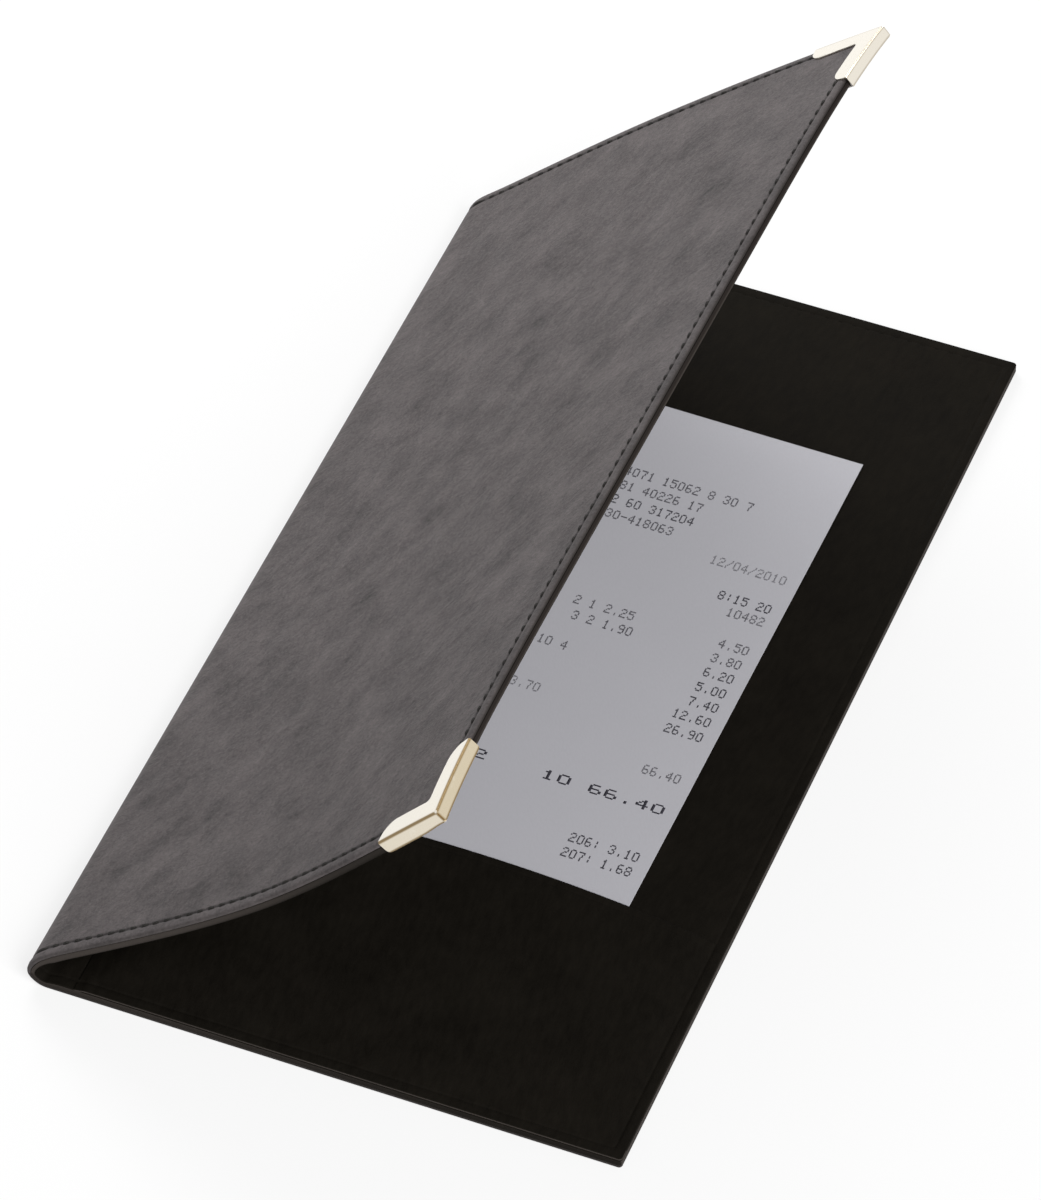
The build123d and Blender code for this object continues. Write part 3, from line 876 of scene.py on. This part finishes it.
def paint_gilt(colours):
    """Polished pale gold plate: fine rubbing marks, a deeper painted reflection on the walls than on
    the flanges, and brown painted shade in the creases."""
    paint = Paint("gilt_metal")
    surface = paint.unrolled()
    marks = paint.drift(paint.turned(surface, (6, 1, 1)), 900)
    # Noise of the plating: it varies the roughness and the bumps, and breaks up the painted reflection on the
    # walls.
    plating_and_reflection = paint.drift(surface, 260, 4, 0.55)
    crease, wall = paint.attribute("crease"), paint.attribute("wall")
    reflection_gaps = plating_and_reflection.between(0.1, 0.3) * 0.6
    # Painted darker reflection on the walls, thinner in patches.
    colour = paint.mix(rgba(colours.gilt), rgba(colours.gilt_wall_reflection), wall * (0.8 - reflection_gaps))
    # Painted shade in brown along the ridge and in the slit.
    colour = paint.mix(colour, rgba(colours.gilt_crease_shade), crease * 0.9)
    rough = 0.16 + plating_and_reflection * 0.1 + crease * 0.3 + marks * 0.05 + wall * 0.06
    paint.bump(marks + plating_and_reflection * 0.6, 0.00001)
    return paint.finish(Base_Color=colour, Roughness=rough, Metallic=1.0)


def paint_paper(colours):
    """Smooth thermal paper: faint cloudiness and fine fibres."""
    paint = Paint("check_paper")
    surface = paint.unrolled()
    cloud = paint.drift(surface, 45, 4, 0.55)
    fibre = paint.drift(paint.turned(surface, (1, 2.5, 1), 20), 2400)
    paint.bump(fibre + cloud, 0.00002)
    colour = paint.scaled(colours.paper, 1 + cloud * 0.05 + fibre * 0.09)
    return paint.finish(Base_Color=colour, Roughness=0.72 + fibre * 0.1, Specular_IOR_Level=0.3)


def paint_ink(colours):
    """Thermal print that is darker where the head was hotter, and uneven within a stroke."""
    paint = Paint("ink")
    uneven = paint.drift(paint.unrolled(), 1900)
    strength = (paint.attribute("ink") + uneven * 0.5).between(0, 0.9)
    colour = paint.mix(rgba(colours.paper), rgba(colours.ink), strength)
    return paint.finish(Base_Color=colour, Roughness=0.75 + uneven * 0.1, Specular_IOR_Level=0.3)


# --- settings -------------------------------------------------------------------
def number(name, description, default, **limits):
    """A property with one number."""
    return bpy.props.FloatProperty(name=name, description=description, default=default, **limits)


def tone(name, description, default):
    """A linear colour property."""
    return bpy.props.FloatVectorProperty(
        name=name, description=description, default=default, size=3, min=0.0, max=1.0, subtype="COLOR")


class PresenterSizes(bpy.types.PropertyGroup):
    """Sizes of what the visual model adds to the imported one."""

    cover_curl: number(
        "Cover curl", "Share of the cover's curl: 0 is flat", 1.0, min=0.0, max=1.2, subtype="FACTOR")
    stitch_pitch: number(
        "Stitch pitch", "Distance from one stitch to the next", 0.0031, min=0.002, unit="LENGTH")
    stitch_length: number(
        "Stitch length", "Length of the thread seen between two holes", 0.0019, min=0.001, unit="LENGTH")
    thread_radius: number(
        "Thread radius", "Radius of the sewing thread", 0.00046, min=0.0001, unit="LENGTH")


class PresenterColours(bpy.types.PropertyGroup):
    """Colours of the folder's materials."""

    leatherette: tone("Leatherette", "Ground of the outer sheet", (0.097, 0.0858, 0.0868))
    leatherette_warm: tone("Leatherette, warm", "Tone of its lighter clouds", (0.104, 0.0907, 0.0907))
    lining: tone("Lining", "Ground of the lining", (0.0042, 0.0035, 0.0026))
    lining_rubbed: tone("Lining, rubbed", "Tone of its nap where it is rubbed", (0.0118, 0.01, 0.0076))
    lining_edge: tone("Lining, edge", "Its turned edge on the two ends", (0.053, 0.045, 0.04))
    # Painted shade: the tone that the skins' walls, the cover's free edge and the linings' free-side edges go
    # over to.
    turned_edge_shade: tone("Turned edge", "Painted shade of the turned edges on the free sides", (0.0205, 0.0168, 0.015))
    thread: tone("Thread", "Sewing thread of the outside", (0.011, 0.01, 0.009))
    # Painted highlight on the thread's ribs.
    thread_highlight: tone("Thread, lit", "Painted highlight on the thread's ribs", (0.028, 0.025, 0.022))
    board: tone("Board", "Fibreboard inside the panels", (0.27, 0.245, 0.21))
    board_fibre: tone("Board, fibre", "Its lighter fibres", (0.36, 0.33, 0.29))
    gilt: tone("Gilt", "Plated corner guards", (0.865, 0.82, 0.73))
    # Painted darker reflection of the guard's walls.
    gilt_wall_reflection: tone("Gilt, wall reflection", "Painted darker reflection on the guard's walls", (0.62, 0.52, 0.35))
    # Painted shade in the guard's creases.
    gilt_crease_shade: tone("Gilt, crease", "Painted shade in the guard's creases", (0.22, 0.14, 0.045))
    paper: tone("Paper", "Thermal paper", (0.5, 0.495, 0.53))
    ink: tone("Ink", "Thermal print", (0.035, 0.033, 0.045))


class PresenterStudio(bpy.types.PropertyGroup):
    """Light and camera."""

    sky: number("Sky", "Strength of the even light from all sides", 0.24, min=0.0)
    key_power: number(
        "Key light", "Power of the soft light on the free side", 28.5, min=0.0, subtype="POWER")
    back_power: number(
        "Back light", "Power of the soft light behind the spine", 3.0, min=0.0, subtype="POWER")
    floor_glow: number(
        "Floor glow", "Share of plain white in the floor that the camera sees", 0.75,
        min=0.0, max=1.0, subtype="FACTOR")
    azimuth: number("Azimuth", "Camera's turn round the folder", math.radians(21.797), subtype="ANGLE")
    elevation: number(
        "Elevation", "Camera's height above the horizon", math.radians(47.713), subtype="ANGLE")
    distance: number("Distance", "Camera to the point that it looks at", 1.57468, unit="LENGTH")
    target: bpy.props.FloatVectorProperty(
        name="Target", description="Point that the camera looks at", default=(-0.010564, 0.01544, 0.0),
        size=3, subtype="TRANSLATION")
    lens: number(
        "Lens", "Focal length for a sensor of 36 mm on the long side", 229.9, min=10.0, unit="CAMERA")


# --- operators ------------------------------------------------------------------
# The bodies that a panel's half of the fold joins, and where it starts and ends to bend between
# them, as (x, z) from the hinge's x.
FOLD_HALVES = {
    "back": (("back", "spine"), (3.6, 0.0), (-0.1, 1.9)),
    "cover": (("spine", "cover"), (-0.2, 3.4), (3.5, 9.6)),
}


def bend_in_fold(piece, panel):
    """Bakes a piece's transform into its mesh and works out where its half of the fold starts and ends to
    bend, but does not let it bend.
    """
    bodies, *ends = FOLD_HALVES[panel]
    start, end = (((HINGE_X + x) * MM, 0.0, z * MM) for x, z in ends)
    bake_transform(piece)
    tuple(start)
    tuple(end)


def lining():
    """The lining's material, which the linings and the pocket share."""
    return bpy.data.materials.get("presenter_lining") or paint_lining(bpy.context.scene.presenter_colours)


class PRESENTER_OT_leatherette(bpy.types.Operator):
    """Makes the outer leatherette of the back and of the cover, each with its half of the fold."""

    bl_idname = "presenter.leatherette"
    bl_label = "Leatherette"

    def execute(self, context):
        leatherette = paint_leatherette(context.scene.presenter_colours)
        curl = context.scene.presenter_sizes.cover_curl
        for panel, nodes in (("back", ("back_skin", "spine_skin")), ("cover", ("cover_skin",))):
            piece = panel_sheet(f"{panel}_leatherette", panel, SKIN_EDGE, leatherette, curl)
            bend_in_fold(piece, panel)
            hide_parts(*nodes)
        return {"FINISHED"}


class PRESENTER_OT_linings(bpy.types.Operator):
    """Makes the inner lining of the back and of the cover, each with its half of the fold."""

    bl_idname = "presenter.linings"
    bl_label = "Linings"

    def execute(self, context):
        curl = context.scene.presenter_sizes.cover_curl
        for panel, nodes in (("back", ("back_lining", "spine_lining")), ("cover", ("cover_lining",))):
            piece = panel_sheet(f"{panel}_lining_sheet", panel, LINING_EDGE, lining(), curl, lining=True)
            bend_in_fold(piece, panel)
            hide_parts(*nodes)
        return {"FINISHED"}


class PRESENTER_OT_boards(bpy.types.Operator):
    """Makes the cover's board, which follows its curl, and paints the back's."""

    bl_idname = "presenter.boards"
    bl_label = "Boards"

    def execute(self, context):
        board = paint_board(context.scene.presenter_colours)
        piece = stiffener("cover_stiffener", board, context.scene.presenter_sizes.cover_curl)
        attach(piece, "cover")
        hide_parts("cover_board")
        for holder in frame["nodes"]["back_board"].material_slots:
            holder.material = board
        return {"FINISHED"}


class PRESENTER_OT_guards(bpy.types.Operator):
    """Makes the two gilt corner guards on the cover's free corners."""

    bl_idname = "presenter.guards"
    bl_label = "Corner guards"

    def execute(self, context):
        gilt = paint_gilt(context.scene.presenter_colours)
        curl = context.scene.presenter_sizes.cover_curl
        # The near guard takes the full painted reflection on its walls, the far one little.
        for end, side, plating_and_reflection in (("near", -1, 1.0), ("far", 1, 0.15)):
            piece = guard(f"gilt_guard_{end}", side, plating_and_reflection, gilt, curl)
            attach(piece, "cover")
            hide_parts(f"corner_guard_{end}")
        return {"FINISHED"}


class PRESENTER_OT_pocket(bpy.types.Operator):
    """Makes the sewn pocket at the near end of the back."""

    bl_idname = "presenter.pocket"
    bl_label = "Pocket"

    def execute(self, context):
        piece = pocket("pocket_sheet", lining(), context.scene.presenter_sizes.cover_curl)
        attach(piece, "back")
        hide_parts("check_pocket")
        return {"FINISHED"}


class PRESENTER_OT_check(bpy.types.Operator):
    """Makes the paper check and its print of plain numbers."""

    bl_idname = "presenter.check"
    bl_label = "Check"

    def execute(self, context):
        colours = context.scene.presenter_colours
        slip = check_slip("check_slip", paint_paper(colours))
        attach(slip, "check")
        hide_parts("guest_check")
        print_piece = check_print("check_print", paint_ink(colours))
        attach(print_piece, "check")
        return {"FINISHED"}


class PRESENTER_OT_stitching(bpy.types.Operator):
    """Sews both panels round their three sides, seen on the outside and on the inside."""

    bl_idname = "presenter.stitching"
    bl_label = "Stitching"

    def execute(self, context):
        sizes = context.scene.presenter_sizes
        colours = context.scene.presenter_colours
        threads = {
            "outside": paint_thread("thread", colours.thread, colours.thread_highlight, 0.2),
            # The lining thread's painted highlight takes the lining's rubbed tone.
            "inside": paint_thread("lining_thread", colours.lining, colours.lining_rubbed, 0.03),
        }
        for panel, level, lift in SEAMS:
            clear = GUARD_LEG - 1.0 if panel == "cover" else 0.0
            piece = stitches(f"stitches_{panel}_{level}", panel, level, lift, threads[level], sizes, clear)
            bend_in_fold(piece, panel)
        return {"FINISHED"}


FLOOR_HALF, FLOOR_DROP = 3.0, 0.00005
# The lamps: name, the setting that holds the power, place and size in metres.
LAMPS = (
    ("key", "key_power", (1.0, -0.8, 1.15), 0.9),
    ("back_light", "back_power", (-0.36, 0.45, 0.42), 0.4),
)


class PRESENTER_OT_stage(bpy.types.Operator):
    """Sets the pale floor, the soft lights and the camera at the photograph's angle."""

    bl_idname = "presenter.stage"
    bl_label = "Stage"

    def execute(self, context):
        studio = context.scene.presenter_studio
        turns = (-1, -1), (1, -1), (1, 1), (-1, 1)
        corners = [(x * FLOOR_HALF, y * FLOOR_HALF, -FLOOR_DROP) for x, y in turns]
        mesh = bpy.data.meshes.new("floor")
        mesh.from_pydata(corners, [], [(0, 1, 2, 3)])
        mesh.materials.append(paint_floor(studio.floor_glow))
        linked("floor", mesh)
        light_world(studio.sky)
        for name, power, spot, size in LAMPS:
            lamp = bpy.data.lights.new(name, "AREA")
            lamp.energy, lamp.size = getattr(studio, power), size
            aim(linked(name, lamp), Vector(spot), Vector(spot))
        set_camera(studio)
        context.scene.view_settings.view_transform = "Standard"
        return {"FINISHED"}


def aim(holder, spot, back):
    """Puts a lamp or a camera at a spot, looking against the direction back."""
    holder.location = spot
    holder.rotation_euler = back.to_track_quat("Z", "Y").to_euler()


def set_camera(studio):
    """Camera at an azimuth and an elevation round the target: 0 looks along +Y."""
    flat = math.cos(studio.elevation)
    back = Vector((
        math.sin(studio.azimuth) * flat, -math.cos(studio.azimuth) * flat, math.sin(studio.elevation)))
    camera = linked("camera", bpy.data.cameras.new("camera"))
    camera.data.lens = studio.lens
    camera.data.sensor_width = 36.0
    camera.data.clip_start, camera.data.clip_end = 0.05, 50.0
    aim(camera, Vector(studio.target) + back * studio.distance, back)
    bpy.context.scene.camera = camera


def paint_floor(glow):
    """White floor: partly plain white for the rays that see the background, so that the shadow on
    it stays soft and pale."""
    paint = Paint("floor")
    paint.finish(Base_Color=(0.9, 0.9, 0.9, 1.0), Roughness=0.9, Specular_IOR_Level=0.0)
    white = paint.node("Emission", None, {"Color": (1, 1, 1, 1), "Strength": 1.0})
    lit = Wire(paint, paint.shader.outputs["BSDF"])
    mixed = paint.node("MixShader", None, {0: paint.seen_plainly() * glow, 1: lit, 2: white})
    paint.feed(paint.tree.nodes["Material Output"].inputs["Surface"], mixed)
    return paint.material


def light_world(strength):
    """Even light from all sides, with a white background for the rays that see it."""
    world = bpy.data.worlds.new("studio")
    bpy.context.scene.world = world
    world.use_nodes = True
    nodes = Nodes(world.node_tree)
    level = nodes.node("MapRange", None, {"Value": nodes.seen_plainly(), "To Min": strength, "To Max": 1.0})
    background = world.node_tree.nodes["Background"]
    nodes.feed(background.inputs["Color"], (1, 1, 1, 1))
    nodes.feed(background.inputs["Strength"], level)


class PRESENTER_PT_sidebar(bpy.types.Panel):
    """Lists the presenter's operators and settings."""

    bl_idname = "PRESENTER_PT_sidebar"
    bl_label = "Check presenter"
    bl_space_type = "VIEW_3D"
    bl_region_type = "UI"
    bl_category = "Presenter"

    def draw(self, context):
        for operator in OPERATORS:
            self.layout.operator(operator.bl_idname)
        for name, kind in GROUPS.items():
            box = self.layout.box()
            for key in kind.__annotations__:
                box.prop(getattr(context.scene, name), key)


OPERATORS = (
    PRESENTER_OT_leatherette, PRESENTER_OT_linings, PRESENTER_OT_boards, PRESENTER_OT_guards,
    PRESENTER_OT_pocket, PRESENTER_OT_check, PRESENTER_OT_stitching, PRESENTER_OT_stage,
)
GROUPS = {
    "presenter_sizes": PresenterSizes,
    "presenter_colours": PresenterColours,
    "presenter_studio": PresenterStudio,
}


def register():
    """Registers the classes, and the settings on the scene."""
    for key, group in GROUPS.items():
        bpy.utils.register_class(group)
        setattr(bpy.types.Scene, key, bpy.props.PointerProperty(type=group))
    for made in (*OPERATORS, PRESENTER_PT_sidebar):
        bpy.utils.register_class(made)


def unregister():
    """Removes what register() added."""
    for made in reversed((*OPERATORS, PRESENTER_PT_sidebar)):
        bpy.utils.unregister_class(made)
    for key, group in GROUPS.items():
        delattr(bpy.types.Scene, key)
        bpy.utils.unregister_class(group)


def main():
    """Registers the classes and runs every operator in order."""
    register()
    for operator in OPERATORS:
        family, name = operator.bl_idname.split(".")
        getattr(getattr(bpy.ops, family), name)()


if __name__ == "__main__":
    main()
